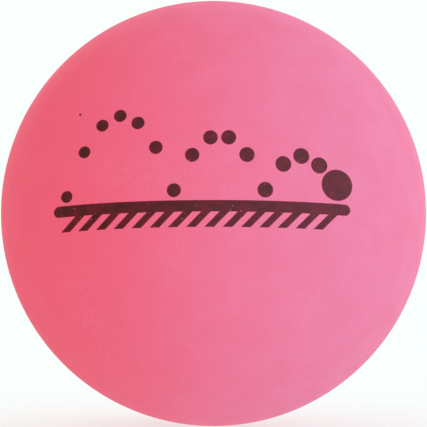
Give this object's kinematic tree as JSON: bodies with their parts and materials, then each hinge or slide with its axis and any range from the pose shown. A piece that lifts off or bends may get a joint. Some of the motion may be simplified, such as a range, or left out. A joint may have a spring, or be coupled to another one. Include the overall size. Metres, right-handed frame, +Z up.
{
  "type": "hollow rubber bouncy ball",
  "caption": "Hollow bouncy ball of pink rubber: half shells cemented along a seam into a sealed sphere, with a dark pictogram printed on the front, for catch and street games.",
  "frame": {"origin": "centre of the ball", "axes": "+Z up, -Y through the front, which carries the print, +X to the right as seen from the front; the seam lies in the XZ plane"},
  "size_m": [0.06, 0.0601, 0.06],
  "materials": {
    "pink_rubber": "matte moulded rubber, tumbled, with a soft dusty sheen",
    "rubber_cement": "cured rubber cement, a little darker and glossier than the shells",
    "print_ink": "flexible dark brown pad-printing ink, satin"
  },
  "bodies": {
    "root": {"front_half_shell": "pink_rubber", "rear_half_shell": "pink_rubber", "seam_cement": "rubber_cement", "bounce_trail_print": "print_ink", "ground_line_print": "print_ink"}
  },
  "joints": []
}
